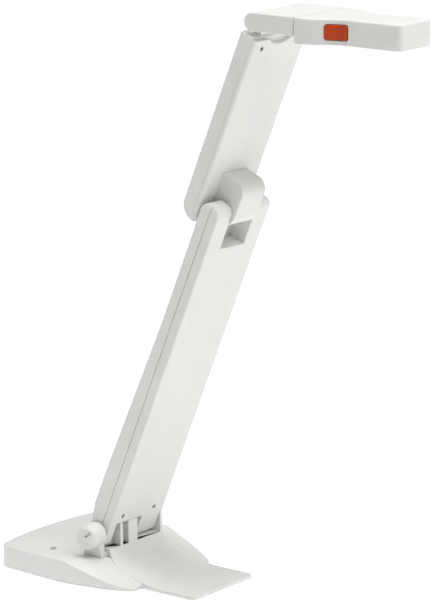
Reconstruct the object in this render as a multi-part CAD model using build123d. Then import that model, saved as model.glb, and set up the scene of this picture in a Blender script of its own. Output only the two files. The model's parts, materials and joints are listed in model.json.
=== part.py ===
from build123d import *
import os
from math import cos, radians, sin

# Document camera: a wedge-shaped base, a folding two-part arm and a swivelling camera head.
# Millimetres. +Z is up, the front is -Y, X runs along the hinge axes.
# The origin lies on the surface that the base stands on, under the base hinge.

# Driving dimensions
LEAN = 22.3                     # forward lean of the arm at its stop, degrees
HINGE_Z = 28.4                  # height of the base hinge axis
ARM_L = 239.5                   # base hinge to elbow
ARM_HALF = 27.0                 # half width of both arm halves
ARM_FRONT = 7.0                 # lower arm: front face to the arm axis
ARM_REAR_TOP = 7.0              # lower arm: rear face at the elbow
ARM_REAR_FOOT = 10.4            # lower arm: rear face at the foot
WALL = 1.8                      # wall of every plastic cover
GAP = 0.3                       # free gap between moving parts

BASE_TOP = 14.3                 # top face of the base
PAD = 0.8                       # rubber pads under the base
RAMP_HALF = 31.3                # half width of the ramp and front tongue
TONGUE_Y = -82.2                # front end of the tongue
TONGUE_TOP = 2.4
FLANK_AT = (53.0, 7.6)          # where the flat top starts to fall away at the sides
FLANK_FALL = 0.35               # fall of the flanks towards the front
FLANK_ROLL = 16.4               # and outwards, degrees
CRADLE_HALF = 27.0
CRADLE_TOP = 19.3
CRADLE_Y = 9.6
FOOT_R = 8.2                    # round foot of the lower arm
HEAD_END = 17.0                 # the ramp narrows to the cradle behind this station
FINGER_R = 11.0                 # upright fingers of the base hinge
FINGER_Y = 9.4
BOSS_X = -41.0                  # outer end of the domed cap on the hinge boss
BOSS_IN = -28.5                 # inner end of the boss; a groove parts it from the arm
BOSS_NECK_R = 6.4
CAP_BACK = -37.0                # where the cap meets the boss
PEDESTAL_X = -33.0              # outer face of the pedestal under the boss
STACK_R = 5.2                   # bore that holds the nut and disc springs
STACK_X = -31.6                 # inner end of the nut and disc spring stack
GROOVE_W = 0.6                  # parting groove along the sides of the lower arm
GROOVE_D = 0.9
SHAFT_R = 3.0

FORK_SLOT = 12.4                # elbow: half width of the slot in the lower arm
FORK_FLOOR = 24.0               # elbow: depth of the slot below the axis
KNUCKLE_HALF = 12.0
KNUCKLE_R = 9.4
KNUCKLE_TOP = 21.9
ELBOW_R = 2.5                   # elbow shaft

UPPER_FRONT = 9.05              # upper arm: front face, behind the elbow axis
UPPER_REAR = 21.1
UPPER_LOW = -10.3
UPPER_TOP = 117.2
UPPER_PARTING = 11.6
COVER_TOP = 115.6
SCOOP = 4.0                     # shallow scoop in the middle of the cover's top edge
SCOOP_X = (13.0, 4.0)

HEAD_Y = 16.2                   # head hinge, behind the elbow axis
HEAD_B = 125.6                  # head hinge, along the arm from the elbow
BLOCK_R = 5.8                   # half thickness of the rear block of the head
BLOCK_F = 31.0                  # rear block: front end, forward of the head hinge
HEAD_F0 = 31.8
HEAD_F1 = 102.4
HEAD_TOP = 5.8
HEAD_LOW = -10.1
HEAD_HALF = 27.0
NOSE_HALF = 17.0
WAIST = (37.0, 64.0)            # the sides draw in between these two stations
NECK_HALF = 18.0
NECK_R = 4.6
PIN_R = 1.6
LENS_F = 88.0                   # lens, forward of the head hinge
LENS_R = 3.6
BASE_FLOOR = 2.6                # top of the bottom cover
BASE_SCREW_R = 1.25

BUTTON_F = (50.8, 64.4)
BUTTON_Z = (-6.8, 2.2)

os.makedirs("parts", exist_ok=True)


# ---------------------------------------------------------------- helpers
def block(x, y, z):
    centre = Pos(sum(x) / 2, sum(y) / 2, sum(z) / 2)
    return centre * Box(x[1] - x[0], y[1] - y[0], z[1] - z[0])


def rod(radius, x, y=0.0, z=0.0):
    return Pos(sum(x) / 2, y, z) * Rot(0, 90, 0) * Cylinder(radius, x[1] - x[0])


def post(radius, x, y, z):
    return Pos(x, y, sum(z) / 2) * Cylinder(radius, z[1] - z[0])


def bar_y(radius, x, y, z):
    return Pos(x, sum(y) / 2, z) * Rot(90, 0, 0) * Cylinder(radius, y[1] - y[0])


def side_slab(face, x):
    return Pos(x[0], 0, 0) * extrude(Plane.YZ * face, x[1] - x[0], dir=(1, 0, 0))


def front_slab(face, y):
    return Pos(0, y[1], 0) * extrude(Plane.XZ * face, y[1] - y[0], dir=(0, -1, 0))


def plan_slab(face, z):
    return Pos(0, 0, z[0]) * extrude(face, z[1] - z[0], dir=(0, 0, 1))


def corners(shape, *points):
    found = []
    for vertex in shape.vertices():
        if any(abs(vertex.X - x) < 0.01 and abs(vertex.Y - y) < 0.01 for x, y in points):
            found.append(vertex)
    return found


def polygon(*points):
    return Polygon(*points, align=None)


def save(name, shape, place=Pos(0, 0, 0)):
    export_step(place * shape, f"parts/{name}.step")


# Frames of the moving bodies at rest
LOWER = Pos(0, 0, HINGE_Z) * Rot(LEAN, 0, 0)
UPPER = LOWER * Pos(0, 0, ARM_L)
head_b = ARM_L + HEAD_B
HEAD_AT_Y = HEAD_Y * cos(radians(LEAN)) - head_b * sin(radians(LEAN))
HEAD_AT_Z = HINGE_Z + head_b * cos(radians(LEAN)) + HEAD_Y * sin(radians(LEAN))
HEAD = Pos(0, HEAD_AT_Y, HEAD_AT_Z)


# ---------------------------------------------------------------- base
def base_outline(inset=0.0):
    """Plan of the base, drawn in by inset on every side."""
    side = [(50.2, 60), (51.2, 44), (52.2, 28), (52.9, 12), (51.9, 0), (49.3, -14), (44.8, -30), (38.6, -40)]
    side = [(x - inset, y) for x, y in side]
    side[0] = (side[0][0], 60 - inset)
    side[-1] = (side[-1][0], inset - 40)
    rear = [(47.5 - inset, 64.2 - inset), (40, 66.8 - inset), (0, 70 - inset)]
    right = Spline(*side)
    left = Spline(*[(-x, y) for x, y in reversed(side)])
    front = Line(side[-1], (-side[-1][0], side[-1][1]))
    back = Spline((-side[0][0], side[0][1]), *[(-x, y) for x, y in rear], rear[1], rear[0], side[0])
    return make_face(Curve() + [right, front, left, back])


def lobe_cutter(sign):
    """Everything above the slanted flank of one side of the base."""
    flank = polygon((-90, -90 * FLANK_FALL), (60, 60 * FLANK_FALL), (60, 90), (-90, 90))
    slab = side_slab(flank, (-90, 90))
    return Pos(sign * FLANK_AT[0], FLANK_AT[1], BASE_TOP) * Rot(0, sign * FLANK_ROLL, 0) * slab


def base_block():
    solid = plan_slab(base_outline(), (PAD, BASE_TOP))
    for sign in (-1, 1):
        solid = solid - lobe_cutter(sign)
    return solid


def ramp_curve():
    return [(-CRADLE_Y, CRADLE_TOP), (-12.6, 14.9), (-17.5, 11.6), (-30, 6.9), (-42, 3.5), (-54, TONGUE_TOP)]


def ramp_face(drop):
    """Side view of the ramp and tongue, its top lowered by drop."""
    points = [(y, z - drop) for y, z in ramp_curve()]
    slope = Spline(*points)
    end = TONGUE_Y + drop
    base = PAD if drop == 0 else -5
    outline = [points[-1], (end, TONGUE_TOP - drop), (end, base - 0.5), (-CRADLE_Y, base - 0.5), points[0]]
    edges = [Line(start, stop) for start, stop in zip(outline, outline[1:])]
    return make_face(Curve() + [slope] + edges)


def tongue_plan():
    half = RAMP_HALF
    face = polygon((-half, -CRADLE_Y), (half, -CRADLE_Y), (half, TONGUE_Y), (-half, TONGUE_Y))
    return fillet(corners(face, (RAMP_HALF, TONGUE_Y), (-RAMP_HALF, TONGUE_Y)), 3.5)


def ramp_block():
    solid = side_slab(ramp_face(0), (-RAMP_HALF, RAMP_HALF)) & plan_slab(tongue_plan(), (-5, 40))
    for sign in (-1, 1):
        head_side = [(sign * CRADLE_HALF, -CRADLE_Y), (sign * RAMP_HALF, -HEAD_END),
                     (sign * (RAMP_HALF + 5), -HEAD_END), (sign * (RAMP_HALF + 5), -CRADLE_Y)]
        solid = solid - plan_slab(polygon(*head_side), (-5, 40))
    return solid


SCREW_SPOTS = [(-42, 50), (42, 50), (-42, -4), (42, -4)]
PLATE_Y = (14.0, 54.0)
HOLLOW_LIMIT = Pos(0, 45) * Rectangle(200, 130)
hollow_area = base_outline(WALL) & HOLLOW_LIMIT


def base_top_shell():
    roof = Pos(0, 0, -WALL) * base_block()
    solid = base_block() - (roof & plan_slab(hollow_area, (-3, 30)))
    throat = polygon((-RAMP_HALF - 0.1, -90), (RAMP_HALF + 0.1, -90), (RAMP_HALF + 0.1, -HEAD_END),
                     (CRADLE_HALF + 0.1, -CRADLE_Y), (-CRADLE_HALF - 0.1, -CRADLE_Y),
                     (-RAMP_HALF - 0.1, -HEAD_END))
    solid = solid - plan_slab(throat, (-1, 30))
    solid = solid - block((-CRADLE_HALF, CRADLE_HALF), (-CRADLE_Y - 0.1, CRADLE_Y), (-1, 30))
    for x, y in SCREW_SPOTS:
        roof_z = BASE_TOP - WALL + 0.2 if y > 0 else BASE_TOP - 2.2
        hole_z = 9.2 if y > 0 else 6.6
        solid = solid + (post(3.2, x, y, (BASE_FLOOR, roof_z)) - post(BASE_SCREW_R, x, y, (0, hole_z)))
    solid = solid - block((14.4, 23.8), (60, 75), (4.7, 8.3))
    solid = solid - Pos(-34.3, 32.2, 12) * Rot(0, 0, 35) * extrude(SlotOverall(7.0, 3.4), 4)
    return solid


def base_bottom_cover():
    area = base_outline(WALL + 0.15) & (Pos(0, 0.15) * HOLLOW_LIMIT)
    solid = plan_slab(area, (PAD, BASE_FLOOR))
    solid = solid - block((-RAMP_HALF - 0.2, RAMP_HALF + 0.2), (-90, -CRADLE_Y), (-1, 30))
    for x, y in SCREW_SPOTS:
        solid = solid - post(1.7, x, y, (0, 3)) - post(3.0, x, y, (0, 1.6))
    return solid


def base_screws():
    bodies = []
    for x, y in SCREW_SPOTS:
        tip = 7.5 if y > 0 else 5.8
        bodies.append(post(2.9, x, y, (PAD, 1.6)) + post(BASE_SCREW_R, x, y, (1.6, tip)))
    return Compound(bodies)


def front_tongue():
    hollow = side_slab(ramp_face(WALL), (-RAMP_HALF + WALL, RAMP_HALF - WALL))
    under = block((-40, 40), (-34, -CRADLE_Y - WALL), (-5, 30))
    return ramp_block() - (hollow & under)


def hinge_finger(x):
    disc = rod(FINGER_R, x, 0, HINGE_Z)
    upright = block(x, (-FINGER_Y, FINGER_Y), (17.0, 45))
    toe = block(x, (-FINGER_Y, 0), (17.0, HINGE_Z))
    return (disc & upright) + toe


def base_hinge_cradle():
    solid = block((-CRADLE_HALF, CRADLE_HALF), (-CRADLE_Y, CRADLE_Y), (BASE_FLOOR, 17.0))
    solid = solid - block((-CRADLE_HALF + 3, CRADLE_HALF - 3), (-CRADLE_Y + 3, CRADLE_Y - 3), (0, 14.5))
    solid = solid + block((-CRADLE_HALF, CRADLE_HALF), (-CRADLE_Y, -1), (15, CRADLE_TOP))
    for x in ((-15.8, -13.0), (-7.6, 1.7), (25.1, CRADLE_HALF + 0.4)):
        solid = solid + hinge_finger(x)
    boss = rod(FOOT_R, (CAP_BACK, BOSS_IN), 0, HINGE_Z)
    boss = boss + rod(BOSS_NECK_R, (BOSS_IN, -ARM_HALF - GAP), 0, HINGE_Z)
    side = polygon((-7.2, BASE_TOP), (7.2, BASE_TOP), (5.6, HINGE_Z), (-5.6, HINGE_Z))
    pedestal = side_slab(side, (PEDESTAL_X, BOSS_IN))
    foot = block((PEDESTAL_X, -24), (-7.2, 7.2), (BASE_TOP, 17.0))
    solid = solid + boss + pedestal + foot
    solid = solid - rod(SHAFT_R, (BOSS_X - 5, CRADLE_HALF + 5), 0, HINGE_Z)
    return solid - rod(STACK_R, (BOSS_X - 5, STACK_X), 0, HINGE_Z)


def hinge_end_cap():
    cap = rod(FOOT_R, (BOSS_X, CAP_BACK), 0, HINGE_Z)
    cap = fillet(cap.edges().filter_by(GeomType.CIRCLE).sort_by(Axis.X)[:1], 3.2)
    plug = rod(STACK_R - 0.1, (CAP_BACK, CAP_BACK + 1.5), 0, HINGE_Z)
    slot = Pos(BOSS_X, -2.6, HINGE_Z + 2.6) * Rot(-35, 0, 0) * Box(3.2, 6.0, 1.6)
    return cap + plug - slot


def hinge_nut():
    nut = extrude(Plane.YZ * RegularPolygon(4.6, 6), 2.6)
    return Pos(STACK_X - 3.35, 0, HINGE_Z) * nut - rod(SHAFT_R, (-50, -20), 0, HINGE_Z)


def hinge_springs():
    discs = []
    for index in range(3):
        left = STACK_X - 0.75 + 0.25 * index
        ring = rod(4.9, (left, left + 0.24), 0, HINGE_Z) - rod(SHAFT_R, (-50, -20), 0, HINGE_Z)
        discs.append(ring)
    return Compound(discs)


def ring_x(outer, bore, x, z=0.0):
    return rod(outer, x, 0, z) - rod(bore, (x[0] - 1, x[1] + 1), 0, z)


def hinge_bushes():
    spans = [(-20.35, -15.85), (-12.95, -7.65), (1.75, 5.15)]
    return Compound([ring_x(4.6, SHAFT_R, span, HINGE_Z) for span in spans])


save("base_top_shell", base_top_shell())
save("base_bottom_cover", base_bottom_cover())
save("base_screws", base_screws())
save("front_tongue", front_tongue())
save("base_hinge_cradle", base_hinge_cradle())
save("hinge_end_cap", hinge_end_cap())
save("hinge_nut", hinge_nut())
save("hinge_disc_springs", hinge_springs())
save("hinge_spacers", hinge_bushes())
save("base_hinge_shaft", rod(SHAFT_R, (STACK_X - 3.5, CRADLE_HALF + 0.3), 0, HINGE_Z))
save("base_weight_plate", block((-38, 38), PLATE_Y, (BASE_FLOOR, 9.0)))
save("base_board", block((-10, 34), (57, 65.5), (3.5, 4.8)))
stand_offs = [post(1.5, x, 61, (BASE_FLOOR, 3.5)) for x in (-6, 8, 30)]
save("board_spacers", Compound(stand_offs))


def usb_socket():
    outer = Plane.XZ * RectangleRounded(9.0, 3.3, 1.6)
    bore = Plane.XZ * RectangleRounded(8.4, 2.7, 1.3)
    shell = extrude(outer, 7.4) - extrude(bore, 6.4)
    tongue = Pos(0, -3.9, 0) * Box(6.6, 5.0, 0.7)
    return Pos(19.1, 69.0, 6.45) * (shell + tongue)


save("usb_socket", usb_socket())
save("status_window", Pos(-34.3, 32.2, 12.5) * Rot(0, 0, 35) * extrude(SlotOverall(6.9, 3.3), 1.7))


def base_pads():
    strips = []
    for y, width in ((0, 12), (53, 10)):
        strips.append(plan_slab(Pos(0, y) * RectangleRounded(70, width, 3), (0, PAD)))
    bar = plan_slab(Pos(0, -74) * RectangleRounded(50, 6, 2.9), (0, 0.3))
    return Compound(strips + [bar])


save("base_pads", base_pads())


# ---------------------------------------------------------------- lower arm
def lower_profile():
    """Side view: (rearward, along the arm)."""
    heel = (-ARM_FRONT, -(FOOT_R ** 2 - ARM_FRONT ** 2) ** 0.5)
    rear = [(ARM_REAR_TOP, ARM_L), (ARM_REAR_TOP, 160), (ARM_REAR_FOOT, 42), (ARM_REAR_FOOT, 17),
            (FOOT_R, 6), (FOOT_R, 0)]
    top = (-ARM_FRONT, ARM_L)
    edges = [Line(heel, top), ThreePointArc(top, (0, ARM_L + ARM_FRONT), rear[0])]
    edges += [Line(start, end) for start, end in zip(rear, rear[1:])]
    edges.append(ThreePointArc(rear[-1], (0, -FOOT_R), heel))
    return make_face(Curve() + edges)


def lower_front_view():
    top = ARM_L + ARM_FRONT
    floor = ARM_L - FORK_FLOOR
    face = polygon((-ARM_HALF, -20), (-ARM_HALF, top), (-FORK_SLOT, top), (-FORK_SLOT, floor),
                   (FORK_SLOT, floor), (FORK_SLOT, top), (ARM_HALF, top), (ARM_HALF, -20))
    face = fillet(corners(face, (-ARM_HALF, top), (ARM_HALF, top)), 5.0)
    return fillet(corners(face, (-FORK_SLOT, top), (FORK_SLOT, top)), 3.2)


HOLLOW_B = (17.0, ARM_L - FORK_FLOOR - 4.0)
ARM_PARTING = -0.65
FOOT_CUT = 11.4
FORK_WEB = (ARM_L - FORK_FLOOR - 1.0, ARM_L - KNUCKLE_R - 0.6)
LOWER_SCREWS = [(-16.3, 15.1), (16.0, 14.0)]


def lower_solid():
    solid = side_slab(lower_profile(), (-ARM_HALF, ARM_HALF)) & front_slab(lower_front_view(), (-20, 20))
    plan = polygon((-ARM_HALF, -ARM_FRONT), (ARM_HALF, -ARM_FRONT), (ARM_HALF, 20), (-ARM_HALF, 20))
    plan = fillet(corners(plan, (-ARM_HALF, -ARM_FRONT), (ARM_HALF, -ARM_FRONT)), 0.9)
    solid = solid & plan_slab(plan, (-30, ARM_L + 20))
    half = ARM_HALF - WALL
    cavity = polygon((-ARM_FRONT + WALL, HOLLOW_B[0]), (-ARM_FRONT + WALL, HOLLOW_B[1]),
                     (ARM_REAR_TOP - WALL, HOLLOW_B[1]), (ARM_REAR_TOP - WALL, 160),
                     (ARM_REAR_FOOT - WALL, 42), (ARM_REAR_FOOT - WALL, HOLLOW_B[0]))
    solid = solid - side_slab(cavity, (-half, half))
    for x in ((-20.4, 5.2), (24.8, 40)):
        solid = solid - block(x, (-20, 20), (-20, FOOT_CUT))
    solid = solid - rod(SHAFT_R + 0.06, (-40, 40)) - rod(ELBOW_R, (-22, 22), 0, ARM_L)
    for sign in (-1, 1):
        edge = (ARM_HALF - GROOVE_D, ARM_HALF + 1)
        x = edge if sign > 0 else (-edge[1], -edge[0])
        solid = solid - block(x, (ARM_PARTING, ARM_PARTING + GROOVE_W), (FOOT_R, ARM_L + 20))
    return solid


lower = lower_solid()
front_half = block((-40, 40), (-20, ARM_PARTING), (-30, 260))
rear_half = block((-40, 40), (ARM_PARTING, 30), (-30, 260))


def lower_front_cover():
    solid = lower & front_half
    # the front skin reaches down over the hinge fingers
    skin = block((-20.4, 5.2), (-ARM_FRONT, -ARM_FRONT + 1.4), (9.9, FOOT_CUT))
    right_skin = block((24.8, ARM_HALF), (-ARM_FRONT, -ARM_FRONT + 1.4), (9.9, FOOT_CUT))
    for x, b in LOWER_SCREWS:
        solid = solid - bar_y(1.6, x, (-20, -ARM_FRONT + 2.6), b)
        solid = solid - bar_y(0.9, x, (-20, ARM_PARTING + 1), b)
    return solid + skin + right_skin


def lower_rear_cover():
    web = block((-FORK_SLOT - 1, FORK_SLOT + 1), (ARM_REAR_TOP - WALL, ARM_REAR_TOP), FORK_WEB)
    solid = (lower & rear_half) + web
    for x, b in LOWER_SCREWS:
        solid = solid - bar_y(0.9, x, (-20, 5.5), b)
    return solid


def lower_screws():
    bodies = []
    for x, b in LOWER_SCREWS:
        head = bar_y(1.5, x, (-ARM_FRONT + 1.4, -ARM_FRONT + 2.6), b)
        bodies.append(head + bar_y(0.9, x, (-ARM_FRONT + 2.5, 5.0), b))
    return Compound(bodies)


save("lower_arm_front_cover", lower_front_cover(), LOWER)
save("lower_arm_rear_cover", lower_rear_cover(), LOWER)
save("lower_arm_screws", lower_screws(), LOWER)


def channel(x, y, z):
    outer = block(x, y, z)
    return outer - block((x[0] + 1.2, x[1] - 1.2), (y[0] + 1.2, y[1] + 1), (z[0] - 1, z[1] + 1))


save("lower_arm_rail", channel((-9, 9), (-3.4, 3.4), HOLLOW_B), LOWER)
save("lower_ribbon_cable", block((14.5, 20.5), (1.2, 1.6), HOLLOW_B), LOWER)
save("elbow_shaft", rod(ELBOW_R, (-22, 22), 0, ARM_L), LOWER)
elbow_rings = [ring_x(6.0, ELBOW_R, x, ARM_L) for x in ((-12.4, -12.08), (12.08, 12.4))]
save("elbow_friction_washers", Compound(elbow_rings), LOWER)


# ---------------------------------------------------------------- upper arm
def upper_solid():
    length = (UPPER_LOW, UPPER_TOP)
    half = ARM_HALF
    plan = polygon((-half, UPPER_FRONT), (half, UPPER_FRONT), (half, UPPER_REAR), (-half, UPPER_REAR))
    plan = fillet(corners(plan, (-half, UPPER_FRONT), (half, UPPER_FRONT)), 2.4)
    plan = fillet(corners(plan, (-half, UPPER_REAR), (half, UPPER_REAR)), 0.9)
    side = polygon((0, UPPER_LOW), (UPPER_REAR, UPPER_LOW), (UPPER_REAR, UPPER_TOP), (0, UPPER_TOP))
    side = fillet(corners(side, (UPPER_REAR, UPPER_LOW)), 11.0)
    solid = plan_slab(plan, length) & side_slab(side, (-40, 40))
    half = ARM_HALF - WALL
    return solid - block((-half, half), (UPPER_FRONT + WALL, UPPER_REAR - WALL), (26, 108))


def knuckle_solid():
    start = 15.0
    edges = [Line((start, -KNUCKLE_R), (0, -KNUCKLE_R)),
             RadiusArc((0, -KNUCKLE_R), (-KNUCKLE_R, 0), KNUCKLE_R),
             Line((-KNUCKLE_R, 0), (-KNUCKLE_R, KNUCKLE_TOP - 8)),
             RadiusArc((-KNUCKLE_R, KNUCKLE_TOP - 8), (-KNUCKLE_R + 8, KNUCKLE_TOP), 8),
             Line((-KNUCKLE_R + 8, KNUCKLE_TOP), (start, KNUCKLE_TOP)),
             Line((start, KNUCKLE_TOP), (start, -KNUCKLE_R))]
    return side_slab(make_face(Curve() + edges), (-KNUCKLE_HALF, KNUCKLE_HALF))


upper = upper_solid()
NECK_SEAT = (108.0, UPPER_TOP - 0.2)
neck_room = block((-24, 24), (12, 20.2), NECK_SEAT)
UPPER_SCREWS = [(-16.7, 109.5)]
FACE_SCREW_FLOOR = UPPER_FRONT + 2.0


def elbow_knuckle():
    solid = knuckle_solid()
    return solid - rod(ELBOW_R + 0.06, (-20, 20))


def upper_front_cover():
    solid = (upper & block((-40, 40), (0, UPPER_PARTING), (-30, 200))) - knuckle_solid()
    bottom = COVER_TOP - SCOOP
    edge, low = SCOOP_X
    top = polygon((-40, COVER_TOP), (-edge, COVER_TOP), (-low, bottom), (low, bottom),
                  (edge, COVER_TOP), (40, COVER_TOP), (40, 150), (-40, 150))
    top = fillet(corners(top, (-edge, COVER_TOP), (edge, COVER_TOP)), 8)
    top = fillet(corners(top, (-low, bottom), (low, bottom)), 8)
    solid = solid - front_slab(top, (0, 30))
    for x, b in UPPER_SCREWS:
        solid = solid - bar_y(1.5, x, (0, FACE_SCREW_FLOOR), b) - bar_y(0.9, x, (0, 14), b)
    return solid


def upper_rear_shell():
    solid = (upper & block((-40, 40), (UPPER_PARTING, 40), (-30, 200))) - knuckle_solid() - neck_room
    solid = solid - block((-24, 24), (5, 20.2), (NECK_SEAT[1] - 0.2, 125))
    for x, b in UPPER_SCREWS:
        solid = solid - bar_y(0.9, x, (0, 17), b)
    return solid


def upper_screws():
    bodies = [bar_y(1.4, x, (UPPER_FRONT + 1.0, FACE_SCREW_FLOOR), b) + bar_y(0.9, x, (11, 11.9), b)
              for x, b in UPPER_SCREWS]
    return Compound(bodies)


def neck():
    wide = block((-24, 24), (12, 20.2), NECK_SEAT)
    disc = rod(NECK_R, (-NECK_HALF, NECK_HALF), HEAD_Y, HEAD_B)
    web = block((-NECK_HALF, NECK_HALF), (HEAD_Y - 3.8, HEAD_Y + 3.8), (NECK_SEAT[1] - 1, HEAD_B))
    solid = wide + disc + web - rod(PIN_R + 0.05, (-40, 40), HEAD_Y, HEAD_B)
    return solid - block((13, 17), (14, 19), (100, 117))


save("elbow_knuckle", elbow_knuckle(), UPPER)
save("upper_arm_front_cover", upper_front_cover(), UPPER)
save("upper_arm_rear_shell", upper_rear_shell(), UPPER)
save("upper_arm_screw", upper_screws(), UPPER)
save("head_neck", neck(), UPPER)
save("upper_arm_rail", channel((-8, 8), (12.4, 17.6), (26, 108)), UPPER)
save("upper_ribbon_cable", block((14, 16.5), (15.2, 15.6), (26, 117)), UPPER)


# ---------------------------------------------------------------- head: rear block
# Local frame of the head: origin on the head hinge, forward is -Y.
SLOT_HALF = NECK_HALF + 0.35
BLOCK_HOLLOW = (8.0, 29.2)
SPINDLE_R = 3.0
SPINDLE_BORE = 1.8
SPINDLE_FLANGE = 4.1


def block_body():
    side = Circle(BLOCK_R) + polygon((0, -BLOCK_R), (0, BLOCK_R), (-BLOCK_F, BLOCK_R), (-BLOCK_F, -BLOCK_R))
    solid = side_slab(side, (-HEAD_HALF, HEAD_HALF))
    ends = [e for e in solid.edges() if abs(abs(e.center().X) - HEAD_HALF) < 0.01]
    solid = fillet(ends, 0.8)
    half = HEAD_HALF - WALL
    hollow = block((-half, half), (-BLOCK_HOLLOW[1], -BLOCK_HOLLOW[0]), (-BLOCK_R - 1, BLOCK_R - 1.6))
    room = block((-SLOT_HALF, SLOT_HALF), (-5.0, 7), (-7, 4.35))
    room = room + rod(NECK_R + GAP, (-SLOT_HALF, SLOT_HALF))
    solid = solid - hollow - room - rod(PIN_R, (-23, 23))
    return solid - bar_y(SPINDLE_R, 0, (-BLOCK_F - 1, -BLOCK_HOLLOW[1] + 1), 0)


def block_floor():
    half = HEAD_HALF - WALL
    return block((-half, half), (-BLOCK_HOLLOW[1], -BLOCK_HOLLOW[0]), (-BLOCK_R, -BLOCK_R + 1.5))


def swivel_spindle():
    tube = bar_y(SPINDLE_R, 0, (-39.0, -26.5), 0) + bar_y(SPINDLE_FLANGE, 0, (-29.2, -26.5), 0)
    return tube - bar_y(SPINDLE_BORE, 0, (-50, -20), 0)


def collar(outer, y, bore=SPINDLE_R):
    return bar_y(outer, 0, y, 0) - bar_y(bore, 0, (y[0] - 1, y[1] + 1), 0)


save("head_block_body", block_body(), HEAD)
save("head_block_floor", block_floor(), HEAD)
save("head_hinge_pin", rod(PIN_R, (-23, 23)), HEAD)
save("swivel_spindle", swivel_spindle(), HEAD)
save("swivel_washer", collar(5.2, (-HEAD_F0 + 0.1, -BLOCK_F)), HEAD)
save("swivel_retainer", collar(3.65, (-35.8, -33.9)), HEAD)


# ---------------------------------------------------------------- head: camera part
def head_outline(grow=0.0):
    """Plan of the camera part, grown by a margin on every side."""
    half_pts = [(HEAD_HALF + grow, grow - HEAD_F0), (HEAD_HALF + grow, -WAIST[0]),
                (NOSE_HALF + grow, -WAIST[1]), (NOSE_HALF + grow, -HEAD_F1 - grow)]
    edges = []
    for sign in (1, -1):
        p = [(sign * x, y) for x, y in half_pts]
        edges.append(Line(p[0], p[1]))
        edges.append(Spline(p[1], p[2], tangents=[(0, -1), (0, -1)]))
        edges.append(Line(p[2], p[3]))
    nose, tail = half_pts[3], half_pts[0]
    edges.append(Line(nose, (-nose[0], nose[1])))
    edges.append(Line(tail, (-tail[0], tail[1])))
    face = make_face(Curve() + edges)
    return fillet(corners(face, nose, (-nose[0], nose[1])), 4.0 + grow)


button_mid = (-sum(BUTTON_F) / 2, sum(BUTTON_Z) / 2)
button_size = (BUTTON_F[1] - BUTTON_F[0], BUTTON_Z[1] - BUTTON_Z[0])
HEAD_SCREWS = [(-21, -36.5), (21, -36.5), (-12, -98), (12, -98)]
FLOOR_TOP = HEAD_LOW + 1.6


def button_prism(grow, x):
    size = [side + 2 * grow for side in button_size]
    face = Pos(*button_mid) * RectangleRounded(*size, 1.3 + grow)
    return side_slab(face, x)


def head_shell():
    solid = plan_slab(head_outline(), (HEAD_LOW, HEAD_TOP))
    rim = solid.faces().sort_by(Axis.Z)[-1].edges()
    solid = fillet(rim, 1.3)
    solid = solid - plan_slab(head_outline(-WALL), (HEAD_LOW - 1, HEAD_TOP - WALL))
    for x, y in HEAD_SCREWS:
        solid = solid + (post(2.4, x, y, (FLOOR_TOP, HEAD_TOP - 1.2)) - post(0.9, x, y, (-20, 0)))
    solid = solid - bar_y(SPINDLE_R + 0.06, 0, (-33.8, -31), 0)
    return solid - button_prism(GAP, (-40, -12))


def head_floor():
    solid = plan_slab(head_outline(-WALL - 0.1), (HEAD_LOW, FLOOR_TOP))
    for x, y in HEAD_SCREWS:
        solid = solid - post(1.1, x, y, (-20, 0)) - post(2.0, x, y, (-20, HEAD_LOW + 0.9))
    solid = solid - post(7.0, 0, -LENS_F, (-20, 0)) - block((-6, 6), (-76, -71), (-20, 0))
    return solid - post(0.6, 10.5, -90, (-20, 0))


def side_button():
    ring = plan_slab(head_outline(0.7), (-12, 8)) - plan_slab(head_outline(-2.3), (-13, 9))
    return ring & button_prism(0, (-30, -10))


def head_screws():
    bodies = [post(1.9, x, y, (HEAD_LOW + 0.1, HEAD_LOW + 0.9)) + post(0.9, x, y, (HEAD_LOW + 0.9, -2))
              for x, y in HEAD_SCREWS]
    return Compound(bodies)


save("head_top_shell", head_shell(), HEAD)
save("head_floor", head_floor(), HEAD)
save("head_screws", head_screws(), HEAD)
head_board = block((-13, 13), (-96, -60), (1.0, 2.2))
for spot in HEAD_SCREWS[2:]:
    head_board = head_board - post(2.5, *spot, (0, 4))
save("head_board", head_board, HEAD)
board_posts = [post(1.2, x, y, (2.2, HEAD_TOP - WALL)) for x in (-10, 10) for y in (-64, -90)]
save("head_board_posts", Compound(board_posts), HEAD)
save("camera_module", block((-6, 6), (-LENS_F - 6, -LENS_F + 6), (-3.4, 1.0)), HEAD)
barrel = post(4.6, 0, -LENS_F, (-8.6, -3.4)) - post(LENS_R, 0, -LENS_F, (-9, -7.4))
barrel = barrel - post(2.6, 0, -LENS_F, (-8, -5))
save("lens_barrel", barrel, HEAD)
save("lens_glass", post(LENS_R, 0, -LENS_F, (-8.4, -7.4)), HEAD)
bezel = post(7.0, 0, -LENS_F, (HEAD_LOW, -8.4)) - post(4.7, 0, -LENS_F, (-20, 0))
save("lens_bezel", bezel, HEAD)
save("led_window", block((-6, 6), (-76, -71), (HEAD_LOW, FLOOR_TOP)), HEAD)
led = [block((x - 1.4, x + 1.4), (-74.9, -72.1), (FLOOR_TOP, FLOOR_TOP + 0.9)) for x in (-3, 3)]
save("led_chips", Compound(led), HEAD)
save("microphone", post(2.0, 10.5, -90, (FLOOR_TOP, FLOOR_TOP + 1.6)), HEAD)
save("side_button", side_button(), HEAD)
switch = block((-13.0, -9.6), (-66.2, -60.2), (-5.0, 1.0)) + rod(1.3, (-13.75, -12.5), -63.2, -2.3)
save("button_switch", switch, HEAD)
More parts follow.
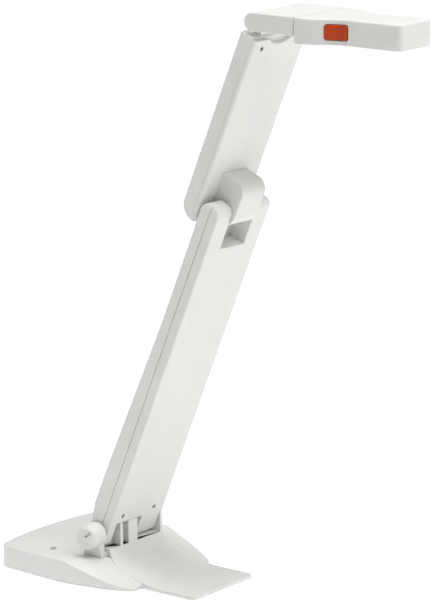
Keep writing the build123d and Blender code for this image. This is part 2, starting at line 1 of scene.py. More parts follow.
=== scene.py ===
# Looks for a folding document camera: softened plastic covers, screws, lens, lamp,
# buttons and hinge hardware, their finishes, and a plain studio around them.
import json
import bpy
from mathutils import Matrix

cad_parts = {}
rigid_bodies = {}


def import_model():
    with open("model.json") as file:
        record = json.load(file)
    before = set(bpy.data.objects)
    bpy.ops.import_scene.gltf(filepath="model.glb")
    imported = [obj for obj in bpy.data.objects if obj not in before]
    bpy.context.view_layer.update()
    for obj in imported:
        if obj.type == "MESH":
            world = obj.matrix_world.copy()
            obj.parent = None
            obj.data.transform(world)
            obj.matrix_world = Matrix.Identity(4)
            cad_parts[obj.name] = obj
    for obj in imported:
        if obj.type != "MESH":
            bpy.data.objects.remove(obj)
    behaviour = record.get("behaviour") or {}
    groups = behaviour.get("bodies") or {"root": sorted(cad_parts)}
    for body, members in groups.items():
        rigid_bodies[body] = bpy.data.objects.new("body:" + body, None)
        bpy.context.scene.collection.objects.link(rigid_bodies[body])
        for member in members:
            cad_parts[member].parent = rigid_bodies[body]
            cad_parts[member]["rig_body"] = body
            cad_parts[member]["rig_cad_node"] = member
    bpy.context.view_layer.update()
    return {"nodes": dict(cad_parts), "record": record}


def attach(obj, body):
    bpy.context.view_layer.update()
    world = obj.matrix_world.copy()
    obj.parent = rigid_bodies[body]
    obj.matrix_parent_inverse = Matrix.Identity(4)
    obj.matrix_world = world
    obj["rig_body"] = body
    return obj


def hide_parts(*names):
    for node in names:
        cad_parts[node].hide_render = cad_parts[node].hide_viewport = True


bl_info = {
    "name": "Document Camera Looks",
    "version": (1, 0, 0),
    "blender": (4, 5, 0),
    "location": "View3D > Sidebar > Document Camera",
    "description": "Builds the finished surfaces and fittings of a folding document camera",
    "category": "Object",
}

from collections import namedtuple
from math import atan2, cos, pi, radians, sin

import bmesh
import bpy
from bpy.props import FloatProperty, FloatVectorProperty, PointerProperty
from mathutils import Matrix, Vector
from mathutils.bvhtree import BVHTree

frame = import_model()

MM = 0.001
SLOT_OF = {row["node"]: row["material_slot"] for row in frame["record"]["subparts"]}
BODY_OF = {node: body for body, nodes in frame["record"]["behaviour"]["bodies"].items() for node in nodes}
HINGE_AT = {row["name"]: Vector(row["pos_m"]) for row in frame["record"]["behaviour"]["joints"]
            if row["type"] == "hinge"}
LOWER_ARM = HINGE_AT["elbow_fold"] - HINGE_AT["base_tilt"]
LEAN = atan2(-LOWER_ARM.y, LOWER_ARM.z)
LEVEL = Matrix.Identity(4)
ARM_FRAME = Matrix.Translation(HINGE_AT["base_tilt"]) @ Matrix.Rotation(LEAN, 4, "X")
ELBOW_FRAME = Matrix.Translation(HINGE_AT["elbow_fold"]) @ Matrix.Rotation(LEAN, 4, "X")
HEAD_FRAME = Matrix.Translation(HINGE_AT["head_tilt"])
LENS_FORWARD = 88.0 * MM
LENS_FRAME = HEAD_FRAME @ Matrix.Translation((0.0, -LENS_FORWARD, 0.0))


# ------------------------------------------------------------------ settings
def colour(name, description, default):
    return FloatVectorProperty(name=name, description=description, default=default,
                               subtype="COLOR", size=3, min=0.0, max=1.0)


def length(name, description, default):
    return FloatProperty(name=name, description=description, default=default,
                         subtype="DISTANCE", unit="LENGTH", min=0.0, precision=5)


class DocCamFinishes(bpy.types.PropertyGroup):
    shell: colour("Shell", "Moulded covers of the base, arms and head", (0.83, 0.83, 0.815))
    shell_tint: colour("Shell shade", "Slightly warmer shade that clouds the covers", (0.79, 0.785, 0.76))
    button: colour("Button", "Side button of the head", (0.58, 0.062, 0.008))
    steel: colour("Steel", "Shafts, screws, rails and springs", (0.6, 0.6, 0.61))
    acetal: colour("Acetal", "Bushes and washers", (0.55, 0.53, 0.48))
    rubber: colour("Rubber", "Feet under the base", (0.05, 0.05, 0.052))
    board: colour("Board", "Solder mask of the boards", (0.02, 0.16, 0.07))
    lens: colour("Lens", "Coated glass of the lens", (0.02, 0.018, 0.035))


class DocCamSizes(bpy.types.PropertyGroup):
    edge: length("Edge radius", "Rounding of the outer edges of the covers", 0.00045)
    grain: FloatProperty(name="Grain", description="Strength of the moulded grain", default=0.16, min=0.0, max=1.0)


class DocCamStudio(bpy.types.PropertyGroup):
    azimuth: FloatProperty(name="Azimuth", description="Direction of the camera around the object",
                           default=radians(-52.1), subtype="ANGLE", unit="ROTATION")
    elevation: FloatProperty(name="Elevation", description="Height angle of the camera",
                             default=radians(12.71), subtype="ANGLE", unit="ROTATION")
    distance: length("Distance", "Camera to target", 1.88187)
    target: FloatVectorProperty(name="Target", description="Point at the middle of the view",
                                default=(-0.17601, -0.21381, 0.23958), subtype="TRANSLATION", unit="LENGTH")
    focal: FloatProperty(name="Focal length", description="Focal length of the camera in millimetres",
                         default=201.11, min=10.0)
    fill: FloatProperty(name="Fill", description="Strength of the even light from all round", default=0.34, min=0.0)
    key: FloatProperty(name="Key", description="Watts that each softbox takes its share of", default=5.2, min=0.0)


# ------------------------------------------------------------------ selection
def clear_selection():
    if bpy.context.object and bpy.context.object.mode != "OBJECT":
        bpy.ops.object.mode_set(mode="OBJECT")
    for obj in bpy.context.view_layer.objects:
        obj.select_set(False)


def make_active(obj):
    clear_selection()
    obj.select_set(True)
    bpy.context.view_layer.objects.active = obj


def pick_faces(obj, keep):
    """Selects the faces for which keep(centre, normal) is true, and enters edit mode."""
    make_active(obj)
    bpy.ops.object.mode_set(mode="EDIT")
    bpy.ops.mesh.select_mode(type="FACE")
    bpy.ops.mesh.select_all(action="DESELECT")
    bpy.ops.object.mode_set(mode="OBJECT")
    for face in obj.data.polygons:
        face.select = bool(keep(face.center, face.normal))
    bpy.ops.object.mode_set(mode="EDIT")


def leave_edit():
    bpy.ops.object.mode_set(mode="OBJECT")


def rest_at_origin(obj):
    make_active(obj)
    bpy.ops.object.transform_apply(location=True, rotation=True, scale=True)


def weigh_outer_edges(obj):
    """Marks the convex sharp edges for rounding and leaves inner corners crisp."""
    sharp = radians(32.0)
    shape = bmesh.new()
    shape.from_mesh(obj.data)
    layer = shape.edges.layers.float.new("bevel_weight_edge")
    for edge in shape.edges:
        if len(edge.link_faces) == 2 and edge.calc_face_angle_signed() > sharp:
            edge[layer] = 1.0
    shape.to_mesh(obj.data)
    shape.free()


def add_bevel(obj, width, segments, limit_method):
    make_active(obj)
    bevel = obj.modifiers.new("soft edges", "BEVEL")
    bevel.width = width
    bevel.segments = segments
    bevel.limit_method = limit_method
    bevel.use_clamp_overlap = False
    return bevel


def round_outer_edges(obj, width):
    weigh_outer_edges(obj)
    bevel = add_bevel(obj, width, 3, "WEIGHT")
    bpy.ops.object.modifier_apply(modifier=bevel.name)


def round_sharp_edges(obj, width):
    bevel = add_bevel(obj, width, 2, "ANGLE")
    bevel.angle_limit = radians(30.0)
    bevel.miter_outer = "MITER_ARC"
    bpy.ops.object.modifier_apply(modifier=bevel.name)


def settle_corners(obj, original, limit):
    """Brings any rounded corner that strays from the original surface back onto it."""
    mesh = original.data
    surface = BVHTree.FromPolygons([v.co for v in mesh.vertices], [tuple(f.vertices) for f in mesh.polygons])
    for vertex in obj.data.vertices:
        near, _, _, distance = surface.find_nearest(vertex.co)
        if distance > limit:
            vertex.co = near


def even_normals(obj, angle=35.0):
    make_active(obj)
    bpy.ops.object.shade_smooth_by_angle(angle=radians(angle))
    weighted = obj.modifiers.new("even shading", "WEIGHTED_NORMAL")
    weighted.keep_sharp = True
    weighted.weight = 80
    bpy.ops.object.modifier_apply(modifier=weighted.name)


def spun(profile, steps=72):
    """A closed ring, from (radius, z) points that go round its section, turned about the Z axis."""
    clear_selection()
    bpy.ops.mesh.primitive_plane_add(size=0.002)
    piece = bpy.context.view_layer.objects.active
    section = bmesh.new()
    corners = [section.verts.new((radius, 0.0, z)) for radius, z in profile]
    for first, second in zip(corners, corners[1:] + corners[:1]):
        section.edges.new((first, second))
    section.to_mesh(piece.data)
    section.free()
    make_active(piece)
    bpy.ops.object.mode_set(mode="EDIT")
    bpy.ops.mesh.select_all(action="SELECT")
    bpy.ops.mesh.spin(steps=steps, angle=2 * pi, center=(0, 0, 0), axis=(0, 0, 1))
    bpy.ops.mesh.select_all(action="SELECT")
    bpy.ops.mesh.remove_doubles(threshold=0.000004)
    bpy.ops.mesh.normals_make_consistent(inside=False)
    leave_edit()
    return piece


def cut_with(obj, cutter):
    make_active(obj)
    cut = obj.modifiers.new("cut", "BOOLEAN")
    cut.operation = "DIFFERENCE"
    cut.solver = "EXACT"
    cut.object = cutter
    bpy.ops.object.modifier_apply(modifier=cut.name)
    bpy.data.objects.remove(cutter, do_unlink=True)


def cuboid(size, place):
    clear_selection()
    bpy.ops.mesh.primitive_cube_add(size=1.0, location=place)
    piece = bpy.context.view_layer.objects.active
    piece.scale = size
    rest_at_origin(piece)
    return piece


def join(objs, name):
    clear_selection()
    for obj in objs:
        obj.select_set(True)
    bpy.context.view_layer.objects.active = objs[0]
    if len(objs) > 1:
        bpy.ops.object.join()
    piece = bpy.context.view_layer.objects.active
    piece.name = name
    piece.data.name = name
    return piece


def copies(obj, places):
    """One separate mesh for each place."""
    made = []
    for place in places:
        make_active(obj)
        bpy.ops.object.duplicate()
        twin = bpy.context.view_layer.objects.active
        twin.matrix_world = place @ obj.matrix_world
        rest_at_origin(twin)
        made.append(twin)
    bpy.data.objects.remove(obj, do_unlink=True)
    return made


def dress(piece, material, body, *nodes):
    """Gives a finished piece its finish and its body, and lets it stand for its CAD nodes."""
    piece.data.materials.clear()
    piece.data.materials.append(material)
    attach(piece, body)
    if nodes:
        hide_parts(*nodes)


def cylinder(radius, depth, place, vertices):
    clear_selection()
    bpy.ops.mesh.primitive_cylinder_add(vertices=vertices, radius=radius, depth=depth, location=place)
    piece = bpy.context.view_layer.objects.active
    rest_at_origin(piece)
    return piece


# ------------------------------------------------------------------ materials
def toned(base, share, lift=0.0):
    return tuple(min(1.0, share * part + lift) for part in base)


def set_span(node, source, target):
    for slot, number in zip(("From Min", "From Max", "To Min", "To Max"), (*source, *target)):
        node.inputs[slot].default_value = number


class Finish:
    """A small builder for one material's nodes."""

    def __init__(self, name, roughness=0.5, metallic=0.0, ior=1.46):
        self.material = bpy.data.materials.new(name)
        self.material.use_nodes = True
        self.nodes = self.material.node_tree.nodes
        self.links = self.material.node_tree.links
        self.shader = self.nodes["Principled BSDF"]
        self.shader.inputs["Roughness"].default_value = roughness
        self.shader.inputs["Metallic"].default_value = metallic
        self.shader.inputs["IOR"].default_value = ior
        self.place = self.nodes.new("ShaderNodeTexCoord")

    def stretched(self, scale):
        mapping = self.nodes.new("ShaderNodeMapping")
        mapping.inputs["Scale"].default_value = scale
        self.links.new(self.place.outputs["Object"], mapping.inputs["Vector"])
        return mapping.outputs["Vector"]

    def noise(self, scale, detail=2.0, rough=0.5, vector=None):
        node = self.nodes.new("ShaderNodeTexNoise")
        node.inputs["Scale"].default_value = scale
        node.inputs["Detail"].default_value = detail
        node.inputs["Roughness"].default_value = rough
        self.links.new(vector or self.place.outputs["Object"], node.inputs["Vector"])
        return node.outputs["Fac"]

    def ramp(self, value, low, high, colours):
        node = self.nodes.new("ShaderNodeValToRGB")
        node.color_ramp.elements[0].position = low
        node.color_ramp.elements[1].position = high
        node.color_ramp.elements[0].color = (*colours[0], 1.0)
        node.color_ramp.elements[1].color = (*colours[1], 1.0)
        self.links.new(value, node.inputs["Fac"])
        return node.outputs["Color"]

    def span(self, value, source, target):
        """Carries the source range of a value over to the target range."""
        node = self.nodes.new("ShaderNodeMapRange")
        set_span(node, source, target)
        self.links.new(value, node.inputs["Value"])
        return node.outputs["Result"]

    def mix(self, factor, first, second):
        node = self.nodes.new("ShaderNodeMix")
        node.data_type = "RGBA"
        for slot, value in ((0, factor), (6, first), (7, second)):
            if isinstance(value, (int, float)):
                node.inputs[slot].default_value = value
            elif isinstance(value, (tuple, list)):
                node.inputs[slot].default_value = (*value, 1.0)
            else:
                self.links.new(value, node.inputs[slot])
        return node.outputs[2]

    def edge_highlight(self, radius=0.0006):
        """Painted highlight: bright where the surface turns sharply."""
        bevel = self.nodes.new("ShaderNodeBevel")
        bevel.samples = 4
        bevel.inputs["Radius"].default_value = radius
        geometry = self.nodes.new("ShaderNodeNewGeometry")
        dot = self.nodes.new("ShaderNodeVectorMath")
        dot.operation = "DOT_PRODUCT"
        self.links.new(bevel.outputs["Normal"], dot.inputs[0])
        self.links.new(geometry.outputs["Normal"], dot.inputs[1])
        return self.span(dot.outputs["Value"], (0.99, 0.86), (0.0, 1.0))

    def bump(self, height, strength, distance, after=None):
        node = self.nodes.new("ShaderNodeBump")
        node.inputs["Strength"].default_value = strength
        node.inputs["Distance"].default_value = distance
        self.links.new(height, node.inputs["Height"])
        if after is not None:
            self.links.new(after, node.inputs["Normal"])
        return node.outputs["Normal"]

    def wire(self, name, output):
        self.links.new(output, self.shader.inputs[name])


HANDLED_SHELL = (0.70, 0.69, 0.66)
# Painted highlight colour laid along the sharp edges of the shell.
SHELL_EDGE_HIGHLIGHT = (0.86, 0.86, 0.85)


def shell_finish(finishes, sizes):
    made = Finish("moulded shell", roughness=0.46, ior=1.49)
    cloud = made.noise(14.0, 3.0, 0.55)
    smudge = made.noise(90.0, 4.0, 0.6)
    tone = made.ramp(cloud, 0.3, 0.72, (tuple(finishes.shell_tint), tuple(finishes.shell)))
    tone = made.mix(made.span(smudge, (0.35, 0.7), (0.0, 0.06)), tone, HANDLED_SHELL)
    # Painted highlight: a lighter shell colour along sharp edges.
    tone = made.mix(made.edge_highlight(), tone, SHELL_EDGE_HIGHLIGHT)
    made.wire("Base Color", tone)
    made.wire("Roughness", made.span(smudge, (0.3, 0.7), (0.4, 0.54)))
    fine = made.noise(2600.0, 2.0, 0.5)
    wave = made.noise(60.0, 1.0, 0.4)
    made.wire("Normal", made.bump(fine, sizes.grain, 0.00003, made.bump(wave, 0.05, 0.0003)))
    made.shader.inputs["Subsurface Weight"].default_value = 0.06
    made.shader.inputs["Subsurface Radius"].default_value = (0.0012, 0.001, 0.0008)
    return made.material


def button_finish(finishes):
    made = Finish("button plastic", roughness=0.34, ior=1.5)
    made.shader.inputs["Specular IOR Level"].default_value = 0.3
    cloud = made.noise(160.0, 3.0, 0.55)
    base = tuple(finishes.button)
    tone = made.ramp(cloud, 0.3, 0.7, (toned(base, 0.82), base))
    # Painted highlight: a lighter orange along sharp edges.
    tone = made.mix(made.edge_highlight(0.0005), tone, toned(base, 1.35, 0.02))
    made.wire("Base Color", tone)
    made.wire("Roughness", made.span(cloud, (0.3, 0.7), (0.28, 0.42)))
    made.wire("Normal", made.bump(made.noise(3000.0, 2.0), 0.12, 0.00002))
    return made.material


def steel_finish(finishes):
    made = Finish("turned steel", roughness=0.3, metallic=1.0)
    brushed = made.noise(900.0, 3.0, 0.6, made.stretched((0.08, 1.0, 1.0)))
    base = tuple(finishes.steel)
    made.wire("Base Color", made.ramp(brushed, 0.3, 0.7, (toned(base, 0.78), base)))
    made.wire("Roughness", made.span(brushed, (0.3, 0.7), (0.22, 0.42)))
    made.wire("Normal", made.bump(brushed, 0.18, 0.00003))
    return made.material


def plain_finish(name, base, rough, grain, metallic=0.0, bump=0.2):
    """Fine-grained plastic, film or rubber, clouded a little darker."""
    made = Finish(name, roughness=sum(rough) / 2, metallic=metallic)
    cloud = made.noise(120.0, 3.0, 0.6)
    tone = made.ramp(cloud, 0.3, 0.7, (toned(base, 0.75), base))
    # Painted highlight: a lighter tone of the base colour along sharp edges.
    made.wire("Base Color", made.mix(made.edge_highlight(0.0004), tone, toned(base, 1.4, 0.02)))
    made.wire("Roughness", made.span(cloud, (0.3, 0.7), rough))
    made.wire("Normal", made.bump(made.noise(grain, 3.0, 0.6), bump, 0.00005))
    return made.material


def board_finish(finishes):
    made = Finish("solder mask", roughness=0.28)
    tracks = made.nodes.new("ShaderNodeTexBrick")
    tracks.inputs["Scale"].default_value = 220.0
    tracks.inputs["Mortar Size"].default_value = 0.06
    made.links.new(made.place.outputs["Object"], tracks.inputs["Vector"])
    base = tuple(finishes.board)
    tone = made.ramp(made.noise(200.0, 2.0), 0.3, 0.7, (toned(base, 0.7), base))
    made.wire("Base Color", made.mix(tracks.outputs["Fac"], tone, toned(base, 1.9, 0.01)))
    made.wire("Normal", made.bump(tracks.outputs["Fac"], 0.3, 0.00004))
    return made.material


def ribbon_finish():
    made = Finish("ribbon film", roughness=0.4)
    stripes = made.nodes.new("ShaderNodeTexWave")
    stripes.bands_direction = "X"
    stripes.inputs["Scale"].default_value = 320.0
    made.links.new(made.place.outputs["Object"], stripes.inputs["Vector"])
    tone = made.ramp(stripes.outputs["Fac"], 0.4, 0.6, ((0.42, 0.24, 0.06), (0.62, 0.40, 0.16)))
    made.wire("Base Color", tone)
    made.wire("Normal", made.bump(stripes.outputs["Fac"], 0.3, 0.00004))
    return made.material


def lens_finish(finishes):
    made = Finish("coated lens", roughness=0.04, ior=1.6)
    # Painted reflection of the lens coating: the colour turns violet towards grazing angles.
    grazing_reflection = made.nodes.new("ShaderNodeLayerWeight")
    grazing_reflection.inputs["Blend"].default_value = 0.35
    tone = made.ramp(grazing_reflection.outputs["Facing"], 0.2, 0.85, (tuple(finishes.lens), (0.10, 0.03, 0.16)))
    made.wire("Base Color", tone)
    made.wire("Roughness", made.span(made.noise(400.0, 2.0), (0.3, 0.7), (0.02, 0.07)))
    made.shader.inputs["Coat Weight"].default_value = 1.0
    made.shader.inputs["Coat Roughness"].default_value = 0.03
    return made.material


def window_finish():
    made = Finish("frosted window", roughness=0.35, ior=1.49)
    tone = made.ramp(made.noise(300.0, 3.0), 0.3, 0.7, ((0.52, 0.52, 0.5), (0.66, 0.66, 0.64)))
    made.wire("Base Color", tone)
    made.wire("Roughness", made.span(made.noise(700.0, 2.0), (0.3, 0.7), (0.25, 0.5)))
    made.wire("Normal", made.bump(made.noise(1800.0, 2.0), 0.2, 0.00003))
    made.shader.inputs["Transmission Weight"].default_value = 0.25
    return made.material


def led_finish():
    made = Finish("lamp phosphor", roughness=0.3)
    tone = made.ramp(made.noise(1500.0, 3.0), 0.3, 0.7, ((0.75, 0.6, 0.12), (0.88, 0.78, 0.3)))
    made.wire("Base Color", tone)
    made.wire("Roughness", made.span(made.noise(900.0), (0.3, 0.7), (0.2, 0.45)))
    return made.material


FINISHES = {}


def finish_of(slot):
    if not FINISHES:
        raise RuntimeError("the finishes are made first")
    return FINISHES[slot]


class DOCCAM_OT_finishes(bpy.types.Operator):
    """Make every finish and put it on the carried-over parts"""
    bl_idname = "doccam.finishes"
    bl_label = "Finishes"

    def execute(self, context):
        finishes = context.scene.doccam_finishes
        sizes = context.scene.doccam_sizes
        FINISHES["white_shell"] = shell_finish(finishes, sizes)
        FINISHES["orange_button"] = button_finish(finishes)
        FINISHES["steel"] = steel_finish(finishes)
        FINISHES["bearing_plastic"] = plain_finish("acetal", tuple(finishes.acetal), (0.35, 0.5), 1600.0)
        FINISHES["circuit_board"] = board_finish(finishes)
        FINISHES["ribbon"] = ribbon_finish()
        FINISHES["black_plastic"] = plain_finish("black plastic", (0.03, 0.03, 0.031), (0.3, 0.5), 2200.0)
        FINISHES["dark steel"] = plain_finish("dark steel", (0.05, 0.05, 0.052), (0.35, 0.55), 1500.0, metallic=0.8)
        FINISHES["gold"] = plain_finish("gold plating", (0.83, 0.58, 0.22), (0.18, 0.34), 900.0, metallic=1.0)
        FINISHES["lens"] = lens_finish(finishes)
        FINISHES["window"] = window_finish()
        FINISHES["led"] = led_finish()
        FINISHES["rubber"] = plain_finish("rubber", tuple(finishes.rubber), (0.7, 0.9), 1100.0, bump=0.45)
        for name, node in frame["nodes"].items():
            node.data.materials.clear()
            node.data.materials.append(finish_of(SLOT_OF[name]))
        return {"FINISHED"}


# ------------------------------------------------------------------ covers
SOFT_COVERS = {
    "base_top_shell": 1.0,
    "front_tongue": 0.8,
    "base_hinge_cradle": 0.6,
    "hinge_end_cap": 0.5,
    "lower_arm_front_cover": 0.8,
    "lower_arm_rear_cover": 0.8,
    "elbow_knuckle": 1.6,
    "upper_arm_front_cover": 0.9,
    "upper_arm_rear_shell": 0.9,
    "head_neck": 0.7,
    "head_block_body": 0.8,
    "head_top_shell": 0.8,
    "head_floor": 0.5,
    "side_button": 0.9,
    "base_bottom_cover": 0.5,
    "base_pads": 0.5,
    "led_window": 0.4,
    "status_window": 0.4,
}
FLOWING = ("front_tongue", "base_top_shell", "hinge_end_cap")


def softened(node, width):
    """A welded copy of a carried-over part with its edges rounded."""
    make_active(frame["nodes"][node])
    bpy.ops.object.duplicate()
    piece = bpy.context.view_layer.objects.active
    piece.parent = None
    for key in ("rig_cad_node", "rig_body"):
        if key in piece:
            del piece[key]
    piece.name = node + ".soft"
    piece.data.name = piece.name
    make_active(piece)
    bpy.ops.object.mode_set(mode="EDIT")
    bpy.ops.mesh.select_all(action="SELECT")
    bpy.ops.mesh.remove_doubles(threshold=0.000002)
    bpy.ops.mesh.dissolve_limited(angle_limit=radians(0.6))
    leave_edit()
    round_outer_edges(piece, width)
    settle_corners(piece, frame["nodes"][node], 0.5 * width)
    if node in FLOWING:
        bpy.ops.object.shade_smooth_by_angle(angle=radians(35.0))
    else:
        even_normals(piece)
    return piece


class DOCCAM_OT_covers(bpy.types.Operator):
    """Round the edges of the covers, hinge parts, button and feet"""
    bl_idname = "doccam.covers"
    bl_label = "Covers"

    def execute(self, context):
        edge = context.scene.doccam_sizes.edge
        for node, share in SOFT_COVERS.items():
            piece = softened(node, edge * share)
            dress(piece, finish_of(SLOT_OF[node]), BODY_OF[node], node)
        return {"FINISHED"}


# ------------------------------------------------------------------ screws
# Sizes and spots are in millimetres, the spots in the frame of the part that the screw goes into.
ScrewSet = namedtuple("ScrewSet", "node finish head_radius head_depth shank_radius shank_length frame spots turn")
INTO_ARM = Matrix.Rotation(-pi / 2, 4, "X")
SCREW_SETS = (
    ScrewSet("base_screws", "steel", 2.9, 0.8, 1.25, 5.0, LEVEL,
             [(-42, 50, 0.8), (42, 50, 0.8), (-42, -4, 0.8), (42, -4, 0.8)], LEVEL),
    ScrewSet("lower_arm_screws", "dark steel", 1.5, 1.2, 0.9, 9.4, ARM_FRAME,
             [(-16.3, -5.6, 15.1), (16.0, -5.6, 14.0)], INTO_ARM),
    ScrewSet("upper_arm_screw", "dark steel", 1.4, 1.0, 0.9, 0.85, ELBOW_FRAME,
             [(-16.7, 10.05, 109.5)], INTO_ARM),
    ScrewSet("head_screws", "steel", 1.9, 0.8, 0.9, 7.2, HEAD_FRAME,
             [(-21, -36.5, -10.0), (21, -36.5, -10.0), (-12, -98, -10.0), (12, -98, -10.0)], LEVEL),
)
# Widths of the recess and rim are shares of the head's radius, depths are shares of its thickness.
THREAD_TURNS = 7
THREAD_ROOT = 0.84
TIP_SETBACK = 0.01 * MM
RECESS_WIDTH = 0.3
RECESS_REACH = 1.16
RECESS_DEPTH = 0.62
RIM_WIDTH = 0.14
CROWN_WIDTH = 0.1
CROWN_RISE = 0.06
FIRST_CROSS_TURN = 0.5
NEXT_CROSS_TURN = 1.1


def push(distance):
    """Extrudes the picked faces along Z."""
    bpy.ops.mesh.extrude_region_move(TRANSFORM_OT_translate={"value": (0, 0, distance)})


def cross_screw(head_radius, head_depth, shank_radius, shank_length):
    """A pan screw with a cross recess; the outer face is at z 0 and the shank runs along +Z."""
    piece = cylinder(head_radius, head_depth, (0, 0, head_depth / 2), 40)
    pick_faces(piece, lambda centre, normal: normal.z > 0.9)
    bpy.ops.mesh.inset(thickness=head_radius - shank_radius)
    for grow in (THREAD_ROOT, 1 / THREAD_ROOT) * THREAD_TURNS:
        push(shank_length / (2 * THREAD_TURNS))
        bpy.ops.transform.resize(value=(grow, grow, 1.0))
    push(-TIP_SETBACK)
    leave_edit()
    pick_faces(piece, lambda centre, normal: normal.z < -0.9)
    bpy.ops.mesh.inset(thickness=head_radius * RIM_WIDTH)
    bpy.ops.mesh.inset(thickness=head_radius * CROWN_WIDTH, depth=head_depth * CROWN_RISE)
    leave_edit()
    for width, reach in ((RECESS_WIDTH, RECESS_REACH), (RECESS_REACH, RECESS_WIDTH)):
        size = (head_radius * width, head_radius * reach, 2 * RECESS_DEPTH * head_depth)
        cut_with(piece, cuboid(size, (0, 0, 0)))
    even_normals(piece, 32.0)
    return piece


def screw_places(screws):
    """Where each screw of a set sits, each cross turned a little further than the last."""
    places = []
    for index, spot in enumerate(screws.spots):
        cross = Matrix.Rotation(FIRST_CROSS_TURN + NEXT_CROSS_TURN * index, 4, "Z")
        places.append(screws.frame @ Matrix.Translation(Vector(spot) * MM) @ screws.turn @ cross)
    return places


class DOCCAM_OT_screws(bpy.types.Operator):
    """Cross-recess screws of the base, the arms and the head"""
    bl_idname = "doccam.screws"
    bl_label = "Screws"

    def execute(self, context):
        for screws in SCREW_SETS:
            master = cross_screw(screws.head_radius * MM, screws.head_depth * MM, screws.shank_radius * MM,
                                 screws.shank_length * MM)
            piece = join(copies(master, screw_places(screws)), screws.node + ".fine")
            dress(piece, finish_of(screws.finish), BODY_OF[screws.node], screws.node)
        return {"FINISHED"}


# ------------------------------------------------------------------ camera optics
# Sections are (radius, height) in millimetres around the lens axis, below the tilt axis of the head.
BEZEL = [(7.0, -8.4), (7.0, -9.9), (6.8, -10.1), (6.3, -10.1), (6.1, -9.95), (6.0, -9.6), (5.6, -9.6),
         (5.5, -9.2), (5.1, -9.2), (5.0, -8.8), (4.72, -8.8), (4.72, -8.4)]
BARREL = [(4.6, -3.4), (4.6, -8.45), (4.45, -8.6), (3.9, -8.6), (3.66, -8.45), (3.66, -7.4), (2.7, -7.4),
          (2.55, -7.0), (2.7, -6.6), (2.5, -6.2), (2.65, -5.8), (2.4, -5.4), (2.4, -5.0), (0.004, -5.0),
          (0.004, -3.4)]
GLASS_RADIUS = 3.6 * MM
GLASS_THICK = 0.45 * MM
GLASS_Z = -7.63 * MM
DOME_RISE = 0.545 * MM
DOME_RINGS = 9


def seated(piece, name):
    piece.matrix_world = LENS_FRAME @ piece.matrix_world
    rest_at_origin(piece)
    piece.name = name
    piece.data.name = name
    return piece


def turned_part(section, node):
    """A black ring or tube of the lens, turned from its section."""
    piece = seated(spun([(radius * MM, z * MM) for radius, z in section]), node + ".fine")
    even_normals(piece, 25.0)
    dress(piece, finish_of("black_plastic"), BODY_OF[node], node)


def domed_glass():
    """The front lens: a thin disc whose lower face swells in rings that flatten towards its middle."""
    glass = cylinder(GLASS_RADIUS, GLASS_THICK, (0, 0, GLASS_Z), 64)
    pick_faces(glass, lambda centre, normal: normal.z < -0.9)
    rises = [1.0 - ring / DOME_RINGS for ring in range(DOME_RINGS)]
    for rise in rises:
        bpy.ops.mesh.inset(thickness=0.9 * GLASS_RADIUS / DOME_RINGS, depth=DOME_RISE * rise / sum(rises))
    leave_edit()
    glass = seated(glass, "lens_glass.fine")
    bpy.ops.object.shade_smooth_by_angle(angle=radians(40.0))
    return glass


class DOCCAM_OT_optics(bpy.types.Operator):
    """Lens, its stepped bezel and its barrel"""
    bl_idname = "doccam.optics"
    bl_label = "Optics"

    def execute(self, context):
        turned_part(BEZEL, "lens_bezel")
        turned_part(BARREL, "lens_barrel")
        dress(domed_glass(), finish_of("lens"), BODY_OF["lens_glass"], "lens_glass")
        return {"FINISHED"}


# ------------------------------------------------------------------ data socket
SOCKET_X, SOCKET_Y, SOCKET_Z = 19.1 * MM, 65.4 * MM, 6.45 * MM
CONTACT_SIZE = (0.25 * MM, 3.6 * MM, 0.06 * MM)
CONTACT_COUNT = 12
CONTACT_PITCH = 0.5 * MM
CONTACT_RISE = 0.35 * MM


class DOCCAM_OT_contacts(bpy.types.Operator):
    """Two rows of contact strips in the data socket"""
    bl_idname = "doccam.contacts"
    bl_label = "Socket contacts"

    def execute(self, context):
        strip = cuboid(CONTACT_SIZE, (0, 0, 0))
        round_sharp_edges(strip, 0.02 * MM)
        places = []
        for index in range(CONTACT_COUNT):
            x = SOCKET_X + CONTACT_PITCH * (index - (CONTACT_COUNT - 1) / 2)
            for rise in (-CONTACT_RISE, CONTACT_RISE):
                places.append(Matrix.Translation((x, SOCKET_Y, SOCKET_Z + rise)))
        piece = join(copies(strip, places), "usb_contacts")
        dress(piece, finish_of("gold"), BODY_OF["usb_socket"])
        return {"FINISHED"}


# ------------------------------------------------------------------ studio
Softbox = namedtuple("Softbox", "name place size share")
SOFTBOXES = (
    Softbox("left box", (-1.5, 1.2, 0.9), 1.3, 0.45),
    Softbox("right box", (0.9, -1.7, 0.8), 1.3, 0.8),
    Softbox("front box", (-0.2, -1.3, 2.0), 1.5, 4.2),
    Softbox("top box", (-0.2, 0.1, 2.2), 1.7, 4.8),
)
LIT_POINT = Vector((0.0, -0.05, 0.2))
FLOOR_SIZE = 24.0
FLOOR_GAP = 0.0002
FLOOR_NEAR_TO_FAR = (-0.25, 0.5)
FLOOR_GLOW = (0.1, 0.62)
SKY_BEHIND_CAMERA = (0.35, 0.8)
SKY_DIMMEST = 0.03


def toward_camera(studio):
    """Direction from the target to the camera."""
    azimuth, elevation = studio.azimuth, studio.elevation
    return Vector((sin(azimuth) * cos(elevation), -cos(azimuth) * cos(elevation), sin(elevation)))


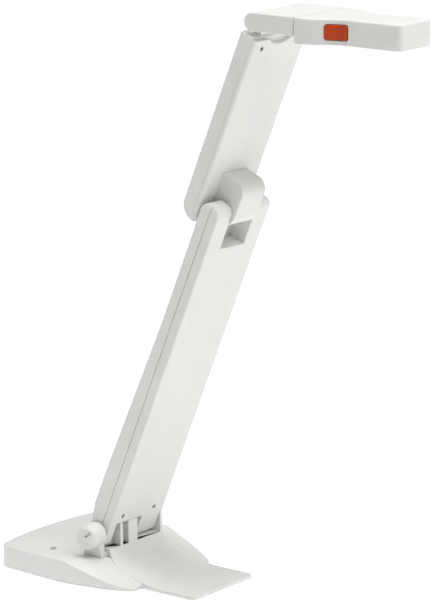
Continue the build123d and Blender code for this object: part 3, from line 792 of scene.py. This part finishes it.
def lay_floor(back):
    """A pale floor that grows brighter into the distance."""
    clear_selection()
    bpy.ops.mesh.primitive_plane_add(size=FLOOR_SIZE, location=(0, 0, -FLOOR_GAP))
    floor = bpy.context.view_layer.objects.active
    floor.name = "studio_floor"
    paint = Finish("studio paper", roughness=0.9)
    tone = paint.ramp(paint.noise(3.0), 0.3, 0.7, ((0.95, 0.95, 0.95), (0.97, 0.97, 0.97)))
    paint.wire("Base Color", tone)
    reach = paint.nodes.new("ShaderNodeVectorMath")
    reach.operation = "DOT_PRODUCT"
    paint.links.new(paint.place.outputs["Object"], reach.inputs[0])
    reach.inputs[1].default_value = (-back.x, -back.y, 0.0)
    paint.shader.inputs["Emission Color"].default_value = (1, 1, 1, 1)
    paint.wire("Emission Strength", paint.span(reach.outputs["Value"], FLOOR_NEAR_TO_FAR, FLOOR_GLOW))
    floor.data.materials.append(paint.material)


def light_world(scene, fill, back):
    """Even light from all round, dimmer behind the camera."""
    world = bpy.data.worlds.new("studio")
    scene.world = world
    world.use_nodes = True
    sky = world.node_tree.nodes
    wires = world.node_tree.links
    sky["Background"].inputs["Color"].default_value = (1.0, 1.0, 1.0, 1.0)
    bearing = sky.new("ShaderNodeTexCoord")
    toward = sky.new("ShaderNodeVectorMath")
    toward.operation = "DOT_PRODUCT"
    toward.inputs[1].default_value = tuple(back)
    shade = sky.new("ShaderNodeMapRange")
    set_span(shade, SKY_BEHIND_CAMERA, (fill, SKY_DIMMEST))
    wires.new(bearing.outputs["Generated"], toward.inputs[0])
    wires.new(toward.outputs["Value"], shade.inputs["Value"])
    wires.new(shade.outputs["Result"], sky["Background"].inputs["Strength"])


def hang_softboxes(key):
    for box in SOFTBOXES:
        bpy.ops.object.light_add(type="AREA", location=box.place)
        lamp = bpy.context.view_layer.objects.active
        lamp.name = box.name
        lamp.data.shape = "DISK"
        lamp.data.size = box.size
        lamp.data.energy = key * box.share
        lamp.rotation_euler = (LIT_POINT - Vector(box.place)).to_track_quat("-Z", "Y").to_euler()


def stand_camera(scene, studio, back):
    bpy.ops.object.camera_add(location=Vector(studio.target) + back * studio.distance)
    camera = bpy.context.view_layer.objects.active
    camera.name = "view camera"
    camera.rotation_euler = (-back).to_track_quat("-Z", "Y").to_euler()
    camera.data.lens = studio.focal
    camera.data.sensor_width = 36.0
    camera.data.clip_end = 50.0
    scene.camera = camera


class DOCCAM_OT_studio(bpy.types.Operator):
    """Put up the floor, the softboxes and the camera"""
    bl_idname = "doccam.studio"
    bl_label = "Studio"

    def execute(self, context):
        scene = context.scene
        studio = scene.doccam_studio
        back = toward_camera(studio)
        lay_floor(back)
        light_world(scene, studio.fill, back)
        hang_softboxes(studio.key)
        stand_camera(scene, studio, back)
        scene.view_settings.view_transform = "Standard"
        return {"FINISHED"}


class DOCCAM_PT_panel(bpy.types.Panel):
    """Settings and steps of the document camera"""
    bl_idname = "DOCCAM_PT_panel"
    bl_label = "Document Camera"
    bl_space_type = "VIEW_3D"
    bl_region_type = "UI"
    bl_category = "Document Camera"

    def draw(self, context):
        scene = context.scene
        for group in (scene.doccam_finishes, scene.doccam_sizes, scene.doccam_studio):
            box = self.layout.box()
            for name in group.__annotations__:
                box.prop(group, name)
        for operator in OPERATORS:
            self.layout.operator(operator.bl_idname)


OPERATORS = (DOCCAM_OT_finishes, DOCCAM_OT_covers, DOCCAM_OT_screws, DOCCAM_OT_optics, DOCCAM_OT_contacts,
             DOCCAM_OT_studio)
CLASSES = (DocCamFinishes, DocCamSizes, DocCamStudio, *OPERATORS, DOCCAM_PT_panel)


def register():
    for cls in CLASSES:
        bpy.utils.register_class(cls)
    bpy.types.Scene.doccam_finishes = PointerProperty(type=DocCamFinishes)
    bpy.types.Scene.doccam_sizes = PointerProperty(type=DocCamSizes)
    bpy.types.Scene.doccam_studio = PointerProperty(type=DocCamStudio)


def unregister():
    for name in ("doccam_finishes", "doccam_sizes", "doccam_studio"):
        delattr(bpy.types.Scene, name)
    for cls in reversed(CLASSES):
        bpy.utils.unregister_class(cls)


def main():
    register()
    bpy.ops.doccam.finishes()
    bpy.ops.doccam.covers()
    bpy.ops.doccam.screws()
    bpy.ops.doccam.optics()
    bpy.ops.doccam.contacts()
    bpy.ops.doccam.studio()


if __name__ == "__main__":
    main()
